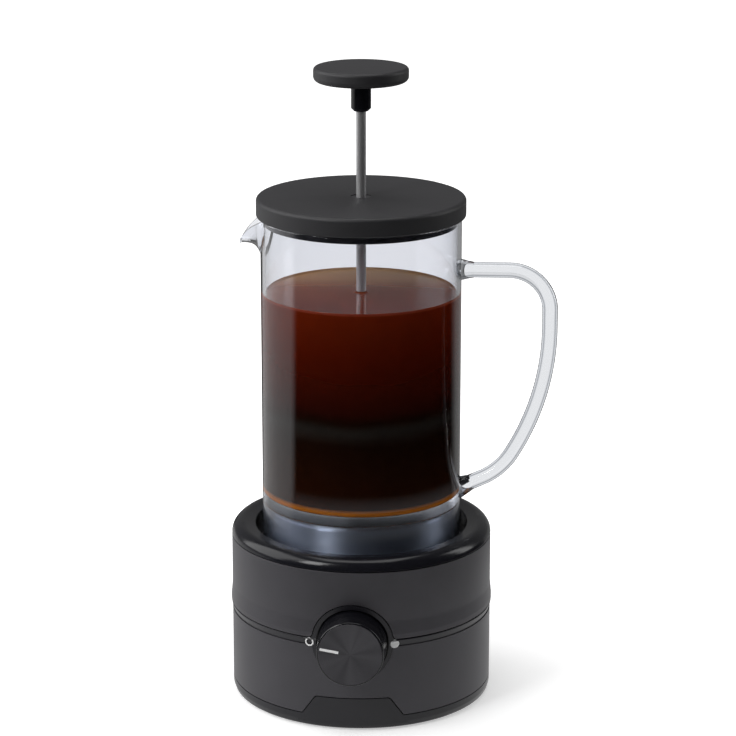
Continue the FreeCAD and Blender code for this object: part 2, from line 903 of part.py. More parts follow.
def make_motor_can():
    can = turned([
        (bush_radius, motor_top - motor_wall),
        (motor_radius - motor_wall, motor_top - motor_wall, 1.0),
        (motor_radius - motor_wall, motor_low),
        (motor_radius, motor_low),
        (motor_radius, motor_top, 1.5),
        (bush_radius, motor_top),
    ])
    return without(can, motor_screw_spots(motor_top - motor_wall - 1, motor_top + 1, small_screw_radius))


def make_motor_end_cap():
    cap_low = motor_low - motor_cap_height
    cap = turned([
        (0, cap_low),
        (motor_radius - 1.0, cap_low, 1.0),
        (motor_radius - 1.0, motor_low - 1.2),
        (motor_radius, motor_low - 1.2),
        (motor_radius, motor_low),
        (bush_radius, motor_low),
        (bush_radius, cap_low + motor_cap_wall),
        (0, cap_low + motor_cap_wall),
    ])
    return cap


def make_motor_bushes():
    bushes = []
    top_low = motor_top + motor_wall - bush_length
    low_start = motor_low - motor_cap_height + motor_cap_wall
    for low in (top_low, low_start):
        bushes.append(ring(shaft_radius + bearing_gap, bush_radius, low, low + bush_length))
    return bushes


def make_stator_magnets():
    outer = motor_radius - motor_wall
    inner = rotor_radius + rotor_gap
    high = motor_top - motor_wall - stator_drop
    profile = [
        (Vector(inner, 0, high - stator_length), 0),
        (Vector(outer, 0, high - stator_length), 0),
        (Vector(outer, 0, high), 0),
        (Vector(inner, 0, high), 0),
    ]
    arc = Part.Face(rounded_wire(profile)).revolve(centre, up, stator_angle)
    arc.rotate(centre, up, -stator_angle / 2)
    return turned_copies(arc, 2)


def make_motor_shaft():
    low = motor_low - motor_cap_height + motor_cap_wall + rest_gap
    return disc(shaft_radius, low, holder_top - shaft_grip_gap)


def make_motor_rotor():
    high = motor_top - motor_wall - rotor_drop
    core = ring(shaft_radius, rotor_radius, high - rotor_length, high)
    slot = block(rotor_radius, rotor_slot_width, high - rotor_length - 1, high + 1, rotor_radius)
    return without(core, turned_copies(slot, rotor_slot_count))


def drive_magnet_spots(low, high, radius):
    """Upright cylinders at the two magnets of the drive."""
    return [disc(radius, low, high, side * magnet_circle) for side in (-1, 1)]


def make_magnet_holder():
    disc_part = turned([
        (0, holder_low),
        (holder_radius, holder_low, 0.8),
        (holder_radius, holder_top, 0.8),
        (0, holder_top),
    ])
    hub = disc(holder_hub_radius, holder_low - holder_hub_drop, holder_low + 1)
    bore = disc(shaft_radius, holder_low - holder_hub_drop - 1, holder_top - shaft_grip_gap)
    pockets = drive_magnet_spots(holder_top - drive_magnet_height, holder_top + 1, drive_magnet_radius)
    return without(joined([disc_part, hub]), [bore] + pockets)


def make_drive_magnets():
    return drive_magnet_spots(holder_top - drive_magnet_height, holder_top, drive_magnet_radius)


# Control board, its parts, leads and cord inlet

def make_control_board():
    board = block(board_length, board_width, board_low, board_top, 0, board_offset_y)
    return without(board, board_posts(board_low - 1, board_top + 1, small_screw_radius + slip_gap))


def make_board_screws():
    screws = []
    shanks = board_posts(board_low - small_screw_grip, board_top, small_screw_radius)
    heads = board_posts(board_top, board_top + small_head_height, small_head_radius)
    for shank, head in zip(shanks, heads):
        screws.append(joined([shank, head]))
    return screws


def make_supply_transformer():
    y = board_offset_y + board_width / 2 - transformer_width / 2 - board_edge_gap
    foot_top = board_top + transformer_foot_height
    top = board_top + transformer_height
    foot = block(transformer_length, transformer_width, board_top, foot_top, 0, y)
    core = block(transformer_core_length, transformer_core_width, foot_top - part_overlap, top, 0, y)
    winding = block(winding_length, transformer_width, foot_top - part_overlap, top - winding_drop, 0, y)
    return joined([foot, core, winding])


def make_supply_capacitors():
    capacitors = []
    for side in (-1, 1):
        x = side * (transformer_length / 2 + capacitor_radius + capacitor_gap)
        capacitor = turned([
            (0, board_top),
            (capacitor_radius, board_top, capacitor_low_round),
            (capacitor_radius, board_top + capacitor_height, capacitor_top_round),
            (0, board_top + capacitor_height),
        ])
        capacitor.translate(Vector(x, board_offset_y + capacitor_offset_y, 0))
        capacitors.append(capacitor)
    return capacitors


def terminal_y():
    """The terminal block's centre, near the board's front edge."""
    return board_offset_y - board_width / 2 + terminal_width / 2 + terminal_edge_gap


def make_terminal_block():
    top = board_top + terminal_height
    return block(terminal_length, terminal_width, board_top, top, 0, terminal_y())


def lead(route):
    """Insulated wire along straight runs with a tangent arc at each turn."""
    corners = []
    for index, point in enumerate(route):
        corners.append((point, 0 if index in (0, len(route) - 1) else lead_bend))
    path = rounded_wire(corners, closed=False)
    along = (route[1] - route[0]).normalize()
    section = Part.Wire(Part.makeCircle(lead_radius, route[0], along))
    return path.makePipeShell([section], True, False)


def make_motor_leads():
    """From the terminal block up to the motor's end cap."""
    leads = []
    start_z = board_top + terminal_height
    end_z = motor_low - motor_cap_height
    for side in (-1, 1):
        x = side * lead_pitch / 2
        route = [
            Vector(x, terminal_y(), start_z),
            Vector(x, terminal_y(), end_z),
        ]
        leads.append(lead(route))
    return leads


def make_switch_leads():
    """From the switch's lugs down to the board's front edge."""
    leads = []
    back_y = switch_depth - bezel_back_y + lug_length
    for side in (-1, 1):
        x = side * lead_pitch / 2
        route = [
            Vector(x, back_y, knob_z),
            Vector(x, back_y + lead_drop_reach, knob_z),
            Vector(x, back_y + lead_drop_reach, board_low + board_wall / 2),
            Vector(x, board_offset_y - board_width / 2, board_low + board_wall / 2),
        ]
        leads.append(lead(route))
    return leads


def make_cord_gland():
    outer = base_radius + gland_flange_height
    profile = [
        (gland_bore, base_radius - gland_depth),
        (gland_radius, base_radius - gland_depth),
        (gland_radius, base_radius + slip_gap),
        (gland_flange_radius, base_radius + slip_gap),
        (gland_flange_radius, outer, 0.6),
        (gland_bore, outer, 0.6),
    ]
    gland = turned(profile)
    gland.rotate(centre, Vector(1, 0, 0), -90)
    gland.translate(Vector(0, 0, gland_z))
    return gland


# Carafe

def spout_loft(inset):
    """Loft through the spout's sections; an inset gives the trough inside its glass."""
    wires = []
    for out, width, drop, depth in spout_sections:
        half_width = spout_half_width * width
        half_depth = spout_depth * depth
        thickness = min(inset, max(half_depth - spout_end_wall, half_depth / 2))
        x = jar_radius + spout_overhang * out
        if out == 1.0:
            x += inset
        z = jar_top - spout_tip_drop * drop
        narrowed = max(half_width - inset, half_width / 3)
        wires.append(upright_ellipse(-x, z, narrowed, half_depth - thickness))
    return Part.makeLoft(wires, True, False)


def upright_ellipse(x, z, half_width, half_depth):
    """Ellipse in a plane square to X."""
    if half_width >= half_depth:
        ellipse = Part.Ellipse(Vector(0, 0, 0), half_width, half_depth)
        turn = 0
    else:
        ellipse = Part.Ellipse(Vector(0, 0, 0), half_depth, half_width)
        turn = 90
    wire = Part.Wire(ellipse.toShape())
    wire.rotate(centre, up, turn)
    wire.rotate(centre, Vector(1, 0, 0), 90)
    wire.rotate(centre, up, 90)
    wire.translate(Vector(x, 0, z))
    return wire


def above_spout():
    """Region above the spout's lip, which falls from the rim to the tip."""
    points = [Vector(-jar_radius + spout_root_reach, 0, jar_top)]
    for out, _, drop, _ in spout_sections[1:]:
        points.append(Vector(-jar_radius - spout_overhang * out, 0, jar_top - spout_tip_drop * drop))
    slope = points[-1] - points[-2]
    points.append(points[-1] + slope)
    lip = Part.BSplineCurve()
    lip.interpolate(points)
    roof = jar_top + jar_radius
    far = Vector(points[-1].x, 0, roof)
    near = Vector(-jar_radius / 2, 0, roof)
    rim = Vector(-jar_radius / 2, 0, jar_top)
    edges = [
        lip.toShape(),
        Part.makeLine(points[-1], far),
        Part.makeLine(far, near),
        Part.makeLine(near, rim),
        Part.makeLine(rim, points[0]),
    ]
    face = Part.Face(Part.Wire(edges))
    face.translate(Vector(0, -jar_radius, 0))
    return face.extrude(Vector(0, 2 * jar_radius, 0))


def make_carafe_glass():
    edge = glass_edge_round
    jar = turned([
        (jar_inner, jar_low, edge),
        (jar_radius, jar_low, edge),
        (jar_radius, jar_top, edge),
        (jar_inner, jar_top, edge),
        (jar_inner, jar_floor_z, jar_floor_round),
        (0, jar_floor_z),
        (0, jar_floor_low),
        (jar_inner, jar_floor_low, 1.0),
    ])
    inside = disc(jar_inner, jar_floor_z + jar_floor_round, jar_top + jar_radius)
    horn = without(spout_loft(0), [inside, above_spout()])
    return jar.fuse(horn).cut(spout_loft(spout_wall)).removeSplitter()


def make_carafe_handle():
    """Bent rod, flared where it is welded to the jar."""
    top_z = jar_top - handle_top_drop
    foot_z = jar_top - handle_foot_drop
    heel = Vector(handle_heel_reach, 0, jar_top - handle_heel_drop)
    start = Vector(jar_inner, 0, top_z)
    foot = Vector(jar_radius, 0, foot_z)
    inward = (foot - heel).normalize()
    end = foot + inward * glass_wall
    path = rounded_wire([
        (start, 0),
        (Vector(handle_reach, 0, top_z), handle_corner_radius),
        (Vector(handle_reach, 0, jar_top - handle_bend_drop), handle_grip_radius),
        (heel, handle_heel_radius),
        (end, 0),
    ], closed=False)
    section = Part.Wire(Part.makeCircle(handle_rod_radius, start, Vector(1, 0, 0)))
    rod = path.makePipeShell([section], True, False)
    flare_length = handle_root_length + glass_wall
    top_root = Part.makeCone(handle_root_radius, handle_rod_radius, flare_length, start, Vector(1, 0, 0))
    foot_root = Part.makeCone(handle_root_radius, handle_rod_radius, flare_length, end, inward * -1)
    body = rod.fuse([top_root, foot_root])
    return body.cut(disc(jar_radius, jar_low, jar_top)).removeSplitter()


# Stirrer

def stir_magnet_spots(low, high, radius):
    """Upright cylinders at the two magnets of the stirrer."""
    return [disc(radius, low, high, side * magnet_circle) for side in (-1, 1)]


def make_stir_rotor():
    low = jar_floor_z + rest_gap
    high = low + stir_height
    half_length = stir_length / 2
    half_width = stir_width / 2
    bar = extruded([
        (Vector(-half_length, -half_width, 0), half_width * 0.95),
        (Vector(half_length, -half_width, 0), half_width * 0.95),
        (Vector(half_length, half_width, 0), half_width * 0.95),
        (Vector(-half_length, half_width, 0), half_width * 0.95),
    ], Vector(0, 0, low + 0.4), Vector(0, 0, stir_height - 0.4))
    boss = turned([
        (0, low),
        (stir_boss_radius * 0.4, low),
        (stir_boss_radius, low + 0.6),
        (stir_boss_radius, high, 0.8),
        (0, high),
    ])
    pockets = stir_magnet_spots(high - stir_magnet_height - stir_magnet_cover, high - stir_magnet_cover,
                               stir_magnet_radius)
    return without(joined([bar, boss]), pockets)


def make_stir_magnets():
    high = jar_floor_z + rest_gap + stir_height
    return stir_magnet_spots(high - stir_magnet_height - stir_magnet_cover, high - stir_magnet_cover,
                               stir_magnet_radius)


# Lid

def lid_screw_spots(low, high, radius):
    """Upright cylinders at the three screws of the lid."""
    return turned_copies(disc(radius, low, high, lid_screw_circle), 3, 90)


def make_lid_cap():
    inner = lid_radius - lid_wall
    ceiling = lid_top - lid_top_wall
    shell = turned([
        (0, ceiling),
        (inner, ceiling, 1.0),
        (inner, lid_low),
        (lid_radius, lid_low, lid_low_round),
        (lid_radius, lid_top, lid_top_round),
        (0, lid_top),
    ])
    boss_low = lid_low + insert_flange
    bosses = lid_screw_spots(boss_low, ceiling + lid_top_wall / 2, lid_boss_radius)
    pilots = lid_screw_spots(boss_low - 1, lid_low + lid_screw_length, lid_screw_radius)
    bore = disc(guide_bush_radius, lid_low, lid_top + 1)
    return without(joined([shell] + bosses), pilots + [bore])


def make_lid_insert():
    """Flange that lies on the rim, the plug below it and the tube that holds the rod's bush."""
    flange_radius = lid_radius - lid_wall - slip_gap
    top = lid_low + insert_flange
    ceiling = lid_top - lid_top_wall
    body = turned([
        (guide_bush_radius, plug_low),
        (guide_tube_radius, plug_low, 0.6),
        (guide_tube_radius, lid_low),
        (plug_radius - plug_wall, lid_low, 0.5),
        (plug_radius - plug_wall, plug_low),
        (plug_radius, plug_low, 0.5),
        (plug_radius, lid_low),
        (flange_radius, lid_low),
        (flange_radius, top),
        (guide_tube_radius, top),
        (guide_tube_radius, ceiling),
        (guide_bush_radius, ceiling),
    ])
    cutters = lid_screw_spots(lid_low - 1, top + 1, lid_screw_radius + slip_gap)
    cutters.extend(pour_slots())
    return without(body, cutters)


def pour_slots():
    """Slots through the plug's wall, towards the spout."""
    slots = []
    slot = block(plug_wall * 4, pour_slot_width, plug_low - 1, lid_low - 0.8, -plug_radius)
    for step in range(pour_slot_count):
        copy = slot.copy()
        copy.rotate(centre, up, (step - (pour_slot_count - 1) / 2) * pour_slot_pitch)
        slots.append(copy)
    return slots


def make_rod_bush():
    return ring(rod_radius + bearing_gap, guide_bush_radius, plug_low, lid_top - bush_drop)


def make_lid_screws():
    one = screw(lid_screw_radius, lid_screw_length, lid_screw_head_radius, lid_screw_head_height,
                lid_low - lid_screw_head_height)
    one.translate(Vector(lid_screw_circle, 0, 0))
    return turned_copies(one, 3, 90)


# Plunger and filter

def make_plunger_disc():
    high = disc_low + disc_height
    return turned([
        (0, disc_low),
        (disc_radius, disc_low, disc_low_round),
        (disc_radius, high, disc_top_round),
        (0, high),
    ])


def make_plunger_hub():
    hub = turned([
        (0, hub_low),
        (hub_radius - hub_chamfer, hub_low),
        (hub_radius, hub_low + hub_chamfer),
        (hub_radius, disc_low),
        (0, disc_low),
    ])
    return hub.cut(disc(rod_radius, hub_low, hub_low + rod_insert))


def make_plunger_rod():
    return disc(rod_radius, filter_low - nut_height, hub_low + rod_insert)


def filter_stack():
    """Heights of the filter's faces, from the support plate up."""
    support_top = filter_low + support_wall
    mesh_top = support_top + mesh_wall
    plate_top = mesh_top + plate_wall
    return support_top, mesh_top, plate_top


def make_filter_support():
    support_top, _, _ = filter_stack()
    plate = ring(rod_radius, groove_radius - slip_gap, filter_low, support_top)
    holes = []
    for row in range(2, support_ring_count + 2):
        hole = disc(support_hole_radius, filter_low - 1, support_top + 1, row * support_ring_pitch)
        holes.extend(turned_copies(hole, 6 * row))
    return plate.cut(Part.makeCompound(holes))


def make_filter_mesh():
    support_top, mesh_top, _ = filter_stack()
    return ring(rod_radius, groove_radius - slip_gap, support_top, mesh_top)


def make_filter_plate():
    _, mesh_top, plate_top = filter_stack()
    outer = seal_inner - plate_inset
    plate = ring(rod_radius, outer, mesh_top, plate_top)
    slot_outer = outer - plate_inset
    slot = block(slot_outer - plate_slot_inner, plate_slot_width, mesh_top - 1, plate_top + 1,
                 (slot_outer + plate_slot_inner) / 2)
    return without(plate, turned_copies(slot, plate_slot_count))


def make_filter_seal():
    _, mesh_top, _ = filter_stack()
    middle = (filter_low + mesh_top) / 2
    low = middle - seal_wall_height / 2
    high = middle + seal_wall_height / 2
    body = turned([
        (seal_inner, low, 0.4),
        (seal_radius, low, 0.8),
        (seal_radius, high, 0.8),
        (seal_inner, high, 0.4),
    ])
    return body.cut(ring(seal_inner - 1, groove_radius, filter_low, mesh_top))


def make_filter_collar():
    _, _, plate_top = filter_stack()
    return ring(rod_radius, collar_radius_on_rod, plate_top, plate_top + collar_height_on_rod)


def make_filter_nut():
    return hexagon(nut_width, filter_low - nut_height, filter_low, rod_radius)


def main():
    os.makedirs("parts", exist_ok=True)
    save("bottom_cover", make_bottom_cover())
    save("non_slip_ring", make_non_slip_ring())
    save("cover_screws", make_cover_screws())
    save("chassis", make_chassis())
    save("lower_sleeve", make_lower_sleeve())
    save("upper_sleeve", make_upper_sleeve())
    save("control_bezel", make_control_bezel())
    save("top_collar", make_top_collar())
    save("well_housing", make_well_housing())
    save("pedestal_cap", make_pedestal_cap())
    save("pedestal_seal", make_pedestal_seal())
    save("carafe_seat", make_carafe_seat())
    save("motor_bracket", make_motor_bracket())
    save("bracket_screws", make_bracket_screws())
    save("motor_isolators", make_motor_isolators())
    save("motor_screws", make_motor_screws())
    save("motor_can", make_motor_can())
    save("motor_end_cap", make_motor_end_cap())
    save("motor_bushes", make_motor_bushes())
    save("stator_magnets", make_stator_magnets())
    save("control_board", make_control_board())
    save("board_screws", make_board_screws())
    save("supply_transformer", make_supply_transformer())
    save("supply_capacitors", make_supply_capacitors())
    save("terminal_block", make_terminal_block())
    save("motor_leads", make_motor_leads())
    save("switch_leads", make_switch_leads())
    save("rotary_switch", make_rotary_switch())
    save("switch_nut", make_switch_nut())
    save("cord_gland", make_cord_gland())
    save("motor_shaft", make_motor_shaft())
    save("motor_rotor", make_motor_rotor())
    save("magnet_holder", make_magnet_holder())
    save("drive_magnets", make_drive_magnets())
    save("knob_body", make_knob_body())
    save("knob_face", make_knob_face())
    save("knob_pointer", make_knob_pointer())
    save("switch_shaft", make_switch_shaft())
    save("carafe_glass", make_carafe_glass())
    save("carafe_handle", make_carafe_handle())
    save("stir_rotor", make_stir_rotor())
    save("stir_magnets", make_stir_magnets())
    save("lid_cap", make_lid_cap())
    save("lid_insert", make_lid_insert())
    save("rod_bush", make_rod_bush())
    save("lid_screws", make_lid_screws())
    save("plunger_disc", make_plunger_disc())
    save("plunger_hub", make_plunger_hub())
    save("plunger_rod", make_plunger_rod())
    save("filter_collar", make_filter_collar())
    save("filter_plate", make_filter_plate())
    save("filter_mesh", make_filter_mesh())
    save("filter_support", make_filter_support())
    save("filter_seal", make_filter_seal())
    save("filter_nut", make_filter_nut())


main()
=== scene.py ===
import json
import math

import bmesh
import bpy
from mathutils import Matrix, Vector


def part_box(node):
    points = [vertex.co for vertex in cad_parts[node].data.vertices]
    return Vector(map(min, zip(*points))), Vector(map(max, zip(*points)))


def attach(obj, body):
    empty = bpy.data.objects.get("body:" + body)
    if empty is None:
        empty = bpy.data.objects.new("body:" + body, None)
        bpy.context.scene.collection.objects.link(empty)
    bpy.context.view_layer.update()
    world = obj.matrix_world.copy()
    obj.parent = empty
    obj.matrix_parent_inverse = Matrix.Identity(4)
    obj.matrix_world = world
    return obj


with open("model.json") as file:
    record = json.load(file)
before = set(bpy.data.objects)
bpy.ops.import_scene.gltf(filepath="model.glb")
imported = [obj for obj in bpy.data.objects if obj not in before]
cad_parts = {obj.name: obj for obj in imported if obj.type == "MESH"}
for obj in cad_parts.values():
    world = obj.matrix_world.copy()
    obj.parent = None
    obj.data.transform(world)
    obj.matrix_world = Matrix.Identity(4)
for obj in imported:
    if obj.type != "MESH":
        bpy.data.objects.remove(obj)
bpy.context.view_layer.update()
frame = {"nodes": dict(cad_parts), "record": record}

MM = 0.001
nodes = frame["nodes"]
slots = {part["node"]: part["material_slot"] for part in frame["record"]["subparts"]}

# Camera, as the photograph was taken: from the front, a little to the handle's side and above
CAMERA_DISTANCE = 1.399
CAMERA_HEIGHT = 0.559
CAMERA_AZIMUTH = math.radians(4.0)
CAMERA_PITCH = math.radians(15.68)
CAMERA_TURN = math.radians(0.137)
LENS_MM = 143.6
SENSOR_MM = 36.0

# Sizes read from the frame
jar_low, jar_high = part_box("carafe_glass")
knob_low, knob_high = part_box("knob_face")
stir_low, stir_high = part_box("stir_rotor")
knob_z = (knob_low[2] + knob_high[2]) / 2
JAR_RADIUS = (jar_high[1] - jar_low[1]) / 2
GLASS_WALL = 2.0 * MM
JAR_INNER = JAR_RADIUS - GLASS_WALL
FLOOR_Z = stir_low[2] - 0.3 * MM  # the stirrer runs this far above the glass
COFFEE_TOP = jar_high[2] - 38.6 * MM
ROD_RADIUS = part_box("plunger_rod")[1][0]


# Node helpers

class Shader:
    """A material's node tree, built with short calls."""

    def __init__(self, name):
        self.material = bpy.data.materials.new(name)
        self.material.use_nodes = True
        self.tree = self.material.node_tree
        self.surface = self.tree.nodes["Principled BSDF"]
        self.output = self.tree.nodes["Material Output"]
        self.object_coords = self.add("ShaderNodeTexCoord").outputs["Object"]

    def add(self, kind, **settings):
        node = self.tree.nodes.new(kind)
        for key, value in settings.items():
            setattr(node, key, value)
        return node

    def link(self, source, target):
        self.tree.links.new(source, target)

    def fixed(self, **values):
        for key, value in values.items():
            self.surface.inputs[key.replace("_", " ")].default_value = value

    def noise(self, scale, detail=3.0, stretch=(1, 1, 1)):
        mapping = self.add("ShaderNodeMapping")
        mapping.inputs["Scale"].default_value = stretch
        self.link(self.object_coords, mapping.inputs["Vector"])
        texture = self.add("ShaderNodeTexNoise")
        texture.inputs["Scale"].default_value = scale
        texture.inputs["Detail"].default_value = detail
        self.link(mapping.outputs["Vector"], texture.inputs["Vector"])
        return texture.outputs["Fac"]

    def ramp(self, source, stops):
        ramp = self.add("ShaderNodeValToRGB")
        elements = ramp.color_ramp.elements
        while len(elements) < len(stops):
            elements.new(0.5)
        for element, (place, colour) in zip(elements, stops):
            element.position = place
            element.color = (*colour, 1.0)
        self.link(source, ramp.inputs["Fac"])
        return ramp.outputs["Color"]

    def spread(self, source, low, high, low_in=0.3, high_in=0.7):
        remap = self.add("ShaderNodeMapRange")
        remap.inputs["From Min"].default_value = low_in
        remap.inputs["From Max"].default_value = high_in
        remap.inputs["To Min"].default_value = low
        remap.inputs["To Max"].default_value = high
        self.link(source, remap.inputs["Value"])
        return remap.outputs["Result"]

    def maths(self, operation, first, second=0.0):
        node = self.add("ShaderNodeMath", operation=operation)
        for socket, value in zip(node.inputs, (first, second)):
            if isinstance(value, (int, float)):
                socket.default_value = value
            else:
                self.link(value, socket)
        return node.outputs["Value"]

    def axis(self, name):
        split = self.add("ShaderNodeSeparateXYZ")
        self.link(self.object_coords, split.inputs["Vector"])
        return split.outputs[name]

    def bump(self, source, height_mm, strength=1.0):
        bump = self.add("ShaderNodeBump")
        bump.inputs["Strength"].default_value = strength
        bump.inputs["Distance"].default_value = height_mm * MM
        self.link(source, bump.inputs["Height"])
        self.link(bump.outputs["Normal"], self.surface.inputs["Normal"])


def tinted(colour, factor):
    """A lighter or darker shade of a colour."""
    return tuple(min(channel * factor, 1.0) for channel in colour)


def moulded(name, colour, roughness, grain_mm, relief_mm, metallic=0.0, coat=0.0, specular=0.5):
    """Moulded or coated surface: fine grain in the relief, soft clouds in colour and gloss."""
    shader = Shader(name)
    clouds = shader.noise(35.0, 4.0)
    grain = shader.noise(1.0 / (grain_mm * MM), 2.0)
    colours = shader.ramp(clouds, [(0.3, tinted(colour, 0.9)), (0.7, tinted(colour, 1.1))])
    shader.link(colours, shader.surface.inputs["Base Color"])
    mixed = shader.maths("ADD", shader.maths("MULTIPLY", clouds, 0.6), shader.maths("MULTIPLY", grain, 0.4))
    shader.link(shader.spread(mixed, roughness * 0.9, roughness * 1.12), shader.surface.inputs["Roughness"])
    shader.bump(grain, relief_mm)
    shader.fixed(Metallic=metallic, Coat_Weight=coat, Specular_IOR_Level=specular)
    if coat:
        shader.fixed(Coat_Roughness=0.08)
    return shader.material


BRUSH_SCALE = 900.0


def brushed(name, colour, roughness, stretch, relief_mm, anisotropy=0.5, metallic=1.0, turn=0.0):
    """Metal with brush lines; stretch is large across the lines, turn swings the gloss in whole turns."""
    shader = Shader(name)
    lines = shader.noise(BRUSH_SCALE, 2.0, stretch)
    clouds = shader.noise(40.0, 3.0)
    colours = shader.ramp(lines, [(0.3, tinted(colour, 0.86)), (0.7, tinted(colour, 1.08))])
    shader.link(colours, shader.surface.inputs["Base Color"])
    mixed = shader.maths("ADD", shader.maths("MULTIPLY", lines, 0.5), shader.maths("MULTIPLY", clouds, 0.5))
    shader.link(shader.spread(mixed, roughness * 0.8, roughness * 1.25), shader.surface.inputs["Roughness"])
    shader.bump(lines, relief_mm)
    shader.fixed(Metallic=metallic, Anisotropic=anisotropy, Anisotropic_Rotation=turn)
    return shader.material


def spun_face():
    """Dark metal turned on a lathe: rings about the knob's axis, their bow-tie gloss, and a painted bow-tie
    sheen in the colour.
    """
    shader = Shader("spun_face")
    shift = shader.add("ShaderNodeVectorMath", operation="SUBTRACT")
    shift.inputs[1].default_value = (0, 0, knob_z)
    shader.link(shader.object_coords, shift.inputs[0])
    split = shader.add("ShaderNodeSeparateXYZ")
    shader.link(shift.outputs["Vector"], split.inputs["Vector"])
    x, z = split.outputs["X"], split.outputs["Z"]
    squared = shader.maths("ADD", shader.maths("MULTIPLY", x, x), shader.maths("MULTIPLY", z, z))
    radius = shader.maths("SQRT", squared)
    rings = shader.add("ShaderNodeTexNoise", noise_dimensions="1D")
    rings.inputs["Scale"].default_value = 5200.0
    rings.inputs["Detail"].default_value = 2.0
    shader.link(radius, rings.inputs["W"])
    # Painted sheen: lighter fans of colour about a fixed angle stand in for the bow-tie gloss.
    angle = shader.maths("ARCTAN2", z, x)
    painted_fans = shader.add("ShaderNodeTexNoise", noise_dimensions="1D")
    painted_fans.inputs["Scale"].default_value = 1.1
    painted_fans.inputs["Detail"].default_value = 1.0
    shader.link(shader.maths("ABSOLUTE", shader.maths("SUBTRACT", angle, math.radians(70))), painted_fans.inputs["W"])
    rings_and_painted_fans = shader.maths("ADD", shader.maths("MULTIPLY", rings.outputs["Fac"], 0.35),
                        shader.maths("MULTIPLY", painted_fans.outputs["Fac"], 0.65))
    colours = shader.ramp(rings_and_painted_fans, [(0.3, (0.03, 0.029, 0.033)), (0.7, (0.075, 0.073, 0.08))])
    shader.link(colours, shader.surface.inputs["Base Color"])
    shader.link(shader.spread(rings.outputs["Fac"], 0.3, 0.42), shader.surface.inputs["Roughness"])
    tangent = shader.add("ShaderNodeTangent", direction_type="RADIAL", axis="Y")
    shader.link(tangent.outputs["Tangent"], shader.surface.inputs["Tangent"])
    shader.bump(rings.outputs["Fac"], 0.004)
    shader.fixed(Metallic=0.6, Anisotropic=0.75)
    return shader.material


# Tint of the glass from face on (0) to edge on (1), with painted shade darkening it towards edge on; the
# handle's dark band near 0.32 is a painted dark line
JAR_TINT_AND_EDGE_SHADE = [(0.0, (0.91, 0.92, 0.955)), (0.62, (0.885, 0.9, 0.94)),
            (0.86, (0.83, 0.85, 0.89)), (1.0, (0.6, 0.62, 0.65))]
HANDLE_TINT_AND_PAINTED_LINES = [(0.0, (0.84, 0.855, 0.88)), (0.18, (0.82, 0.84, 0.87)), (0.32, (0.1, 0.115, 0.14)),
               (0.42, (0.7, 0.72, 0.76)), (0.78, (0.7, 0.73, 0.77)), (1.0, (0.4, 0.42, 0.45))]
FOOT_TINT = (0.5, 0.53, 0.59, 1.0)
FOOT_HAZE = 0.16
GLASS_IOR = 1.48
GLASS_SHADOW = (0.93, 0.95, 0.96, 1.0)


def clear_glass(name, tint_and_shade_stops):
    """Clear glass with faint waviness, painted darker where it is seen edge on; lamps shine through it."""
    shader = Shader(name)
    waves = shader.noise(28.0, 2.0)
    shader.bump(waves, 0.02, 0.08)
    haze = shader.noise(90.0, 3.0)
    below = shader.spread(shader.axis("Z"), 1.0, 0.0, FLOOR_Z - 0.5 * MM, FLOOR_Z + 0.5 * MM)
    foot_haze = shader.maths("MULTIPLY", below, FOOT_HAZE)
    roughness = shader.maths("ADD", shader.spread(haze, 0.0, 0.02), foot_haze)
    shader.link(roughness, shader.surface.inputs["Roughness"])
    rim = shader.add("ShaderNodeLayerWeight")
    rim.inputs["Blend"].default_value = 0.5
    wavy_rim = shader.maths("ADD", rim.outputs["Facing"], shader.maths("MULTIPLY", waves, 0.04))
    # Painted shade: the glass's colour darkens as it is seen more edge on.
    tint_and_edge_shade = shader.ramp(wavy_rim, tint_and_shade_stops)
    deep = shader.add("ShaderNodeMix", data_type="RGBA", blend_type="MULTIPLY")
    deep.inputs["B"].default_value = FOOT_TINT
    shader.link(below, deep.inputs["Factor"])
    shader.link(tint_and_edge_shade, deep.inputs["A"])
    shader.link(deep.outputs["Result"], shader.surface.inputs["Base Color"])
    shader.fixed(Transmission_Weight=1.0, IOR=GLASS_IOR)
    clear = shader.add("ShaderNodeBsdfTransparent")
    clear.inputs["Color"].default_value = GLASS_SHADOW
    path = shader.add("ShaderNodeLightPath")
    mix = shader.add("ShaderNodeMixShader")
    shader.link(path.outputs["Is Shadow Ray"], mix.inputs["Fac"])
    shader.link(shader.surface.outputs["BSDF"], mix.inputs[1])
    shader.link(clear.outputs["BSDF"], mix.inputs[2])
    shader.link(mix.outputs["Shader"], shader.output.inputs["Surface"])
    return shader.material


# Colours of the coffee from its foot (0) to its top (1), with a painted glow near the top, and of its face
# from front (0) to back (1), painted lighter towards the back
COFFEE_DEPTH_GLOW = [(0.0, (0.012, 0.003, 0.001)), (0.36, (0.006, 0.002, 0.001)), (0.43, (0.011, 0.009, 0.0075)),
                 (0.47, (0.006, 0.002, 0.001)), (0.52, (0.013, 0.0018, 0.001)),
                 (0.78, (0.042, 0.0036, 0.0006)), (1.0, (0.07, 0.007, 0.0012))]
COFFEE_FACE_LIGHT = [(0.2, (0.12, 0.02, 0.01)), (0.55, (0.19, 0.045, 0.02)), (0.8, (0.32, 0.16, 0.08)),
               (1.0, (0.34, 0.2, 0.11))]
COFFEE_FOOT_GLOW = (0.45, 0.14, 0.015, 1.0)
DEPTH_RAGGEDNESS = 0.012


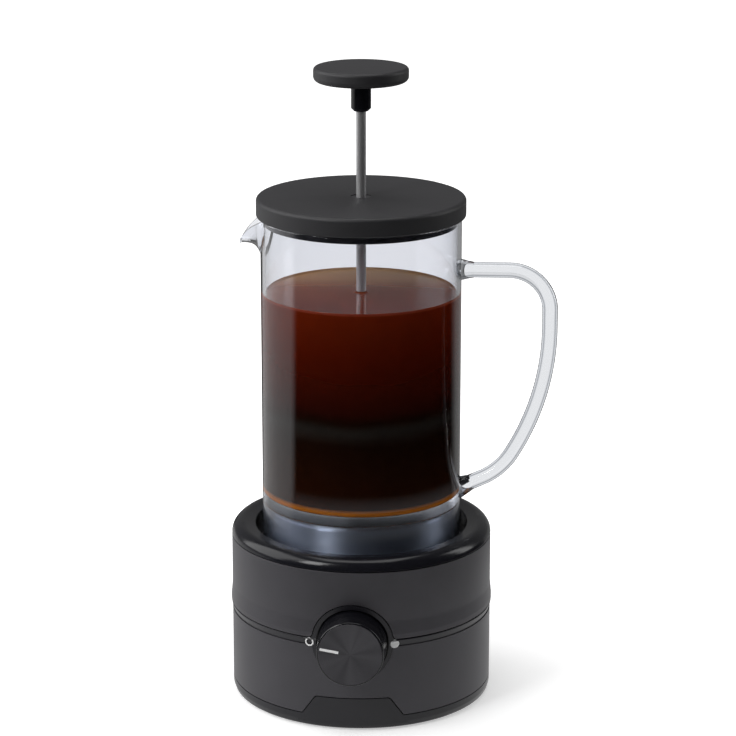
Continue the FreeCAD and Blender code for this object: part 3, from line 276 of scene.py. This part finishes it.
def coffee_look():
    """Coffee with painted light: red-brown where light comes through near the top, near black below, amber at
    its foot.
    """
    shader = Shader("coffee_liquid")
    wobble = shader.noise(26.0, 4.0)
    height = shader.axis("Z")
    shift = shader.maths("MULTIPLY", shader.maths("SUBTRACT", wobble, 0.5), DEPTH_RAGGEDNESS)
    ragged = shader.maths("ADD", height, shift)
    depth = shader.spread(ragged, 0.0, 1.0, FLOOR_Z, COFFEE_TOP)
    glow = shader.ramp(depth, COFFEE_DEPTH_GLOW)
    # Painted glow: the coffee turns amber at its foot.
    foot = shader.spread(height, 1.0, 0.0, FLOOR_Z + 1.0 * MM, FLOOR_Z + 4.0 * MM)
    amber_glow = shader.add("ShaderNodeMix", data_type="RGBA")
    amber_glow.inputs["B"].default_value = COFFEE_FOOT_GLOW
    shader.link(foot, amber_glow.inputs["Factor"])
    shader.link(glow, amber_glow.inputs["A"])
    # Painted light: the coffee's face is lighter towards the back.
    face = shader.add("ShaderNodeMix", data_type="RGBA")
    across = shader.spread(shader.axis("Y"), 0.0, 1.0, -JAR_INNER, JAR_INNER)
    shader.link(shader.ramp(across, COFFEE_FACE_LIGHT), face.inputs["B"])
    shader.link(shader.spread(height, 0.0, 1.0, COFFEE_TOP - 0.3 * MM, COFFEE_TOP), face.inputs["Factor"])
    shader.link(amber_glow.outputs["Result"], face.inputs["A"])
    shader.link(face.outputs["Result"], shader.surface.inputs["Base Color"])
    shader.link(shader.spread(wobble, 0.02, 0.07), shader.surface.inputs["Roughness"])
    shader.bump(shader.noise(14.0, 0.0), 0.02, 0.05)
    shader.fixed(Specular_IOR_Level=0.4)
    return shader.material


def make_materials():
    """One finish for each material slot of the record."""
    steel = (0.56, 0.56, 0.57)
    return {
        "sleeve": moulded("sleeve_coating", (0.055, 0.053, 0.06), 0.42, 0.16, 0.006, metallic=0.35),
        "black_moulding": moulded("satin_black", (0.013, 0.0125, 0.016), 0.32, 0.3, 0.005, specular=0.4),
        "gloss_black": moulded("gloss_black", (0.006, 0.006, 0.008), 0.16, 0.5, 0.002, specular=0.4),
        "collar": moulded("collar_satin", (0.008, 0.008, 0.011), 0.2, 0.3, 0.002, specular=0.33),
        "soft_black": moulded("soft_touch", (0.018, 0.0175, 0.02), 0.55, 0.22, 0.012),
        "spun_metal": spun_face(),
        "white_inlay": moulded("white_print", (0.9, 0.9, 0.9), 0.45, 0.2, 0.004),
        "polished_steel": brushed("polished_steel", (0.72, 0.74, 0.79), 0.4, (1, 1, 14), 0.0006, 0.9,
                                  turn=0.25),
        "steel": brushed("brushed_steel", steel, 0.38, (1, 1, 9), 0.003, 0.3, metallic=0.75),
        "rubber": moulded("rubber", (0.02, 0.02, 0.02), 0.75, 0.4, 0.02),
        "silicone": moulded("silicone", (0.04, 0.04, 0.043), 0.5, 0.6, 0.01),
        "clear_glass": clear_glass("carafe_glass_clear", JAR_TINT_AND_EDGE_SHADE),
        "handle_glass": clear_glass("handle_glass_clear", HANDLE_TINT_AND_PAINTED_LINES),
        "bronze": brushed("sintered_bronze", (0.45, 0.28, 0.13), 0.4, (1, 1, 3), 0.01, 0.0),
        "board_green": moulded("solder_mask", (0.015, 0.13, 0.05), 0.3, 1.2, 0.01, coat=0.3),
        "white_nylon": moulded("white_nylon", (0.7, 0.69, 0.65), 0.45, 0.5, 0.01),
        "magnet": brushed("nickel_plate", (0.6, 0.59, 0.56), 0.15, (1, 1, 1), 0.002, 0.0),
        "lead_red": moulded("lead_sheath", (0.42, 0.02, 0.015), 0.4, 0.5, 0.01),
        "inner_black": moulded("inner_moulding", (0.022, 0.022, 0.023), 0.5, 0.6, 0.015),
    }


# Pieces that the frame has no solid for

def new_object(name, mesh):
    """Object in the scene's own collection."""
    piece = bpy.data.objects.new(name, mesh)
    bpy.context.scene.collection.objects.link(piece)
    return piece


def lathe(name, profile, segments=192):
    """Surface of revolution through (radius, height) points; a radius of zero closes it."""
    build = bmesh.new()
    rows = []
    for radius, height in profile:
        if radius == 0:
            rows.append([build.verts.new((0, 0, height))])
            continue
        row = []
        for step in range(segments):
            angle = 2 * math.pi * step / segments
            row.append(build.verts.new((radius * math.cos(angle), radius * math.sin(angle), height)))
        rows.append(row)
    for lower, upper in zip(rows, rows[1:]):
        for step in range(segments):
            following = (step + 1) % segments
            if len(lower) == 1:
                build.faces.new((lower[0], upper[following], upper[step]))
            elif len(upper) == 1:
                build.faces.new((lower[step], lower[following], upper[0]))
            else:
                build.faces.new((lower[step], lower[following], upper[following], upper[step]))
    bmesh.ops.recalc_face_normals(build, faces=build.faces)
    mesh = bpy.data.meshes.new(name)
    build.to_mesh(mesh)
    build.free()
    for face in mesh.polygons:
        face.use_smooth = True
    return new_object(name, mesh)


def make_coffee():
    """The coffee in the jar, with its meniscus at the wall and its rounded foot."""
    radius = JAR_INNER + 0.15 * MM  # wets the glass, so that no air shows between them
    low = FLOOR_Z + 0.06 * MM
    foot_round = 3.0 * MM
    meniscus_height = 1.1 * MM
    meniscus_width = 2.4 * MM
    rod_meniscus = 0.9 * MM
    meniscus_fall = 4.0  # how fast it falls from the wall or the rod
    steps = 8
    rod_steps = 6
    profile = [(0, low), (radius - foot_round * 1.5, low)]
    for step in range(steps + 1):
        angle = -math.pi / 2 + math.pi / 2 * step / steps
        profile.append((radius - foot_round + foot_round * math.cos(angle),
                        low + foot_round + foot_round * math.sin(angle)))
    for step in range(1, steps):
        profile.append((radius, low + foot_round + (COFFEE_TOP - low - foot_round) * step / steps))
    profile.append((radius, COFFEE_TOP + meniscus_height - 0.3 * MM))
    for step in range(steps + 1):
        part = step / steps
        lift = meniscus_height * math.exp(-meniscus_fall * part)
        profile.append((radius - meniscus_width * part, COFFEE_TOP + lift))
    profile.append((radius * 0.5, COFFEE_TOP))
    for step in range(rod_steps + 1):
        part = 1 - step / rod_steps
        profile.append((ROD_RADIUS - 0.1 * MM + meniscus_width * part,
                        COFFEE_TOP + rod_meniscus * math.exp(-meniscus_fall * part)))
    profile.append((0, COFFEE_TOP + rod_meniscus))
    piece = lathe("coffee", profile)
    piece.data.materials.append(coffee_look())
    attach(piece, "carafe")


OFF_MARK_X = -21.1 * MM
ON_MARK_X = 20.6 * MM
MARK_RADIUS = 2.1 * MM
MARK_STROKE = 0.65 * MM
MARK_HEIGHT = 0.08 * MM
MARK_DROP = 0.3 * MM
DOT_BORE = 0.02 * MM
BEZEL_RADIUS = 65.2 * MM


def make_mark(name, side, inner_radius, material):
    """Printed sign on the bezel beside the knob, wrapped round the base."""
    build = bmesh.new()
    segments = 48
    rows = []
    for radius, lift in ((inner_radius, 0), (inner_radius, MARK_HEIGHT),
                         (MARK_RADIUS, MARK_HEIGHT), (MARK_RADIUS, 0)):
        row = []
        for step in range(segments):
            angle = 2 * math.pi * step / segments
            x = side + radius * math.cos(angle)
            z = knob_z - MARK_DROP + radius * math.sin(angle)
            y = -math.sqrt((BEZEL_RADIUS + lift) ** 2 - x * x)
            row.append(build.verts.new((x, y, z)))
        rows.append(row)
    for lower, upper in zip(rows, rows[1:] + rows[:1]):
        for step in range(segments):
            following = (step + 1) % segments
            build.faces.new((lower[step], lower[following], upper[following], upper[step]))
    bmesh.ops.remove_doubles(build, verts=build.verts, dist=1e-7)
    bmesh.ops.recalc_face_normals(build, faces=build.faces)
    mesh = bpy.data.meshes.new(name)
    build.to_mesh(mesh)
    build.free()
    piece = new_object(name, mesh)
    mesh.materials.append(material)
    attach(piece, "base")


# Studio

FLOOR_HALF = 4.0
# The camera sees the floor keep its shadow near the object and turn white farther out
SHADOW_RADIUS = 0.065
WHITE_RADIUS = 0.22
SHADOW_LIFT = 0.46
# What gloss mirrors of the floor: the table near the object, and a glow on either side
TABLE_RADIUS = 0.24
TABLE_FADE = 0.1
TABLE_GLOW = 0.8
# Angles about the object from its front, positive to its left, over which the side glows fade in and out
LEFT_FADES = [math.radians(74), math.radians(82), math.radians(146), math.radians(156)]
RIGHT_FADE = [math.radians(-140), math.radians(-126)]
LEFT_GLOW = 0.65
RIGHT_GLOW = 0.3


def make_floor():
    """Pale floor that keeps the object's shadow; glass and gloss see it lit in parts."""
    build = bmesh.new()
    bmesh.ops.create_grid(build, x_segments=8, y_segments=8, size=FLOOR_HALF)
    mesh = bpy.data.meshes.new("floor")
    build.to_mesh(mesh)
    build.free()
    floor = new_object("floor", mesh)
    shader = Shader("floor_white")
    clouds = shader.noise(3.0, 2.0)
    shader.link(shader.ramp(clouds, [(0.3, (0.79, 0.79, 0.79)), (0.7, (0.81, 0.81, 0.81))]),
                shader.surface.inputs["Base Color"])
    shader.fixed(Roughness=0.9, Specular_IOR_Level=0.0)
    x, y = shader.axis("X"), shader.axis("Y")
    squared = shader.maths("ADD", shader.maths("MULTIPLY", x, x), shader.maths("MULTIPLY", y, y))
    radius = shader.maths("SQRT", squared)
    left_angle = shader.maths("ARCTAN2", shader.maths("MULTIPLY", x, -1.0), shader.maths("MULTIPLY", y, -1.0))
    table = shader.spread(radius, TABLE_GLOW, 0.0, TABLE_RADIUS, TABLE_RADIUS + TABLE_FADE)
    left = shader.maths("MULTIPLY", shader.spread(left_angle, 0.0, 1.0, LEFT_FADES[0], LEFT_FADES[1]),
                        shader.spread(left_angle, 1.0, 0.0, LEFT_FADES[2], LEFT_FADES[3]))
    left = shader.maths("MULTIPLY", left, LEFT_GLOW)
    right = shader.spread(left_angle, 1.0, 0.0, RIGHT_FADE[0], RIGHT_FADE[1])
    right = shader.maths("MULTIPLY", right, RIGHT_GLOW)
    mirrored = shader.maths("MAXIMUM", table, shader.maths("MAXIMUM", left, right))
    path = shader.add("ShaderNodeLightPath")
    straight = shader.maths("MULTIPLY", path.outputs["Is Transmission Ray"],
                            shader.maths("LESS_THAN", path.outputs["Glossy Depth"], 0.5))
    near_white = shader.spread(radius, SHADOW_LIFT, 1.0, SHADOW_RADIUS, WHITE_RADIUS)
    shader.link(shader.maths("MULTIPLY", path.outputs["Is Camera Ray"], near_white),
                shader.surface.inputs["Emission Strength"])
    shader.surface.inputs["Emission Color"].default_value = (1, 1, 1, 1)
    seen = shader.add("ShaderNodeEmission")
    shader.link(shader.maths("MAXIMUM", straight, mirrored), seen.inputs["Strength"])
    bent = shader.maths("MAXIMUM", path.outputs["Is Glossy Ray"], path.outputs["Is Transmission Ray"])
    mix = shader.add("ShaderNodeMixShader")
    shader.link(bent, mix.inputs["Fac"])
    shader.link(shader.surface.outputs["BSDF"], mix.inputs[1])
    shader.link(seen.outputs["Emission"], mix.inputs[2])
    shader.link(mix.outputs["Shader"], shader.output.inputs["Surface"])
    mesh.materials.append(shader.material)


THROUGH_GLASS = 0.85
FRONT_STUDIO = 0.03
BACK_STUDIO = 0.22


def make_world():
    """White for the camera and through glass, and a darker studio for reflections."""
    world = bpy.data.worlds.new("studio")
    bpy.context.scene.world = world
    world.use_nodes = True
    tree = world.node_tree
    background = tree.nodes["Background"]
    coords = tree.nodes.new("ShaderNodeTexCoord")
    split = tree.nodes.new("ShaderNodeSeparateXYZ")
    tree.links.new(coords.outputs["Generated"], split.inputs["Vector"])
    path = tree.nodes.new("ShaderNodeLightPath")

    def spread(source, low_in, high_in, low, high):
        remap = tree.nodes.new("ShaderNodeMapRange")
        for key, value in (("From Min", low_in), ("From Max", high_in), ("To Min", low), ("To Max", high)):
            remap.inputs[key].default_value = value
        tree.links.new(source, remap.inputs["Value"])
        return remap.outputs["Result"]

    def maths(operation, first, second):
        node = tree.nodes.new("ShaderNodeMath")
        node.operation = operation
        tree.links.new(first, node.inputs[0])
        tree.links.new(second, node.inputs[1])
        return node.outputs["Value"]

    through = maths("MULTIPLY", path.outputs["Is Transmission Ray"],
                    spread(path.outputs["Glossy Depth"], 0.0, 1.0, THROUGH_GLASS, 0.0))
    mirrored = spread(split.outputs["Y"], -0.2, 1.0, FRONT_STUDIO, BACK_STUDIO)
    strength = maths("MAXIMUM", maths("MAXIMUM", through, path.outputs["Is Camera Ray"]), mirrored)
    tree.links.new(strength, background.inputs["Strength"])
    background.inputs["Color"].default_value = (1, 1, 1, 1)


def soft_box(name, place, target, width, height, watts):
    """Rectangular lamp that faces a point."""
    data = bpy.data.lights.new(name, "AREA")
    data.shape = "RECTANGLE"
    data.size = width
    data.size_y = height
    data.energy = watts
    lamp = bpy.data.objects.new(name, data)
    bpy.context.scene.collection.objects.link(lamp)
    lamp.location = place
    lamp.rotation_euler = (Vector(target) - Vector(place)).to_track_quat("-Z", "Y").to_euler()


def make_lamps():
    """Soft boxes left, right, above and at the front left."""
    middle = (0, 0, 0.16)
    soft_box("left_box", (-1.25, 0.1, 0.85), middle, 1.4, 1.3, 14.0)
    soft_box("right_box", (1.2, 0.35, 0.6), middle, 0.4, 0.9, 3.5)
    soft_box("top_box", (0.0, 0.1, 1.5), middle, 1.0, 1.0, 8.0)
    soft_box("front_box", (-1.1, -1.15, 1.3), middle, 0.6, 0.9, 16.0)


def make_camera():
    """The photograph's camera."""
    data = bpy.data.cameras.new("camera")
    data.sensor_width = SENSOR_MM
    data.lens = LENS_MM
    data.clip_end = 20.0
    camera = bpy.data.objects.new("camera", data)
    bpy.context.scene.collection.objects.link(camera)
    camera.location = (CAMERA_DISTANCE * math.sin(CAMERA_AZIMUTH),
                       -CAMERA_DISTANCE * math.cos(CAMERA_AZIMUTH), CAMERA_HEIGHT)
    camera.rotation_euler = (math.pi / 2 - CAMERA_PITCH, 0, CAMERA_AZIMUTH - CAMERA_TURN)
    bpy.context.scene.camera = camera


materials = make_materials()
slots["top_collar"] = "collar"
slots["carafe_handle"] = "handle_glass"
for node_name, cad_object in nodes.items():
    cad_object.data.materials.clear()
    cad_object.data.materials.append(materials[slots[node_name]])

make_camera()
make_floor()
make_world()
make_lamps()
make_coffee()
make_mark("off_mark", OFF_MARK_X, MARK_RADIUS - MARK_STROKE, materials["white_inlay"])
make_mark("on_mark", ON_MARK_X, DOT_BORE, materials["white_inlay"])
bpy.context.scene.view_settings.view_transform = "Standard"
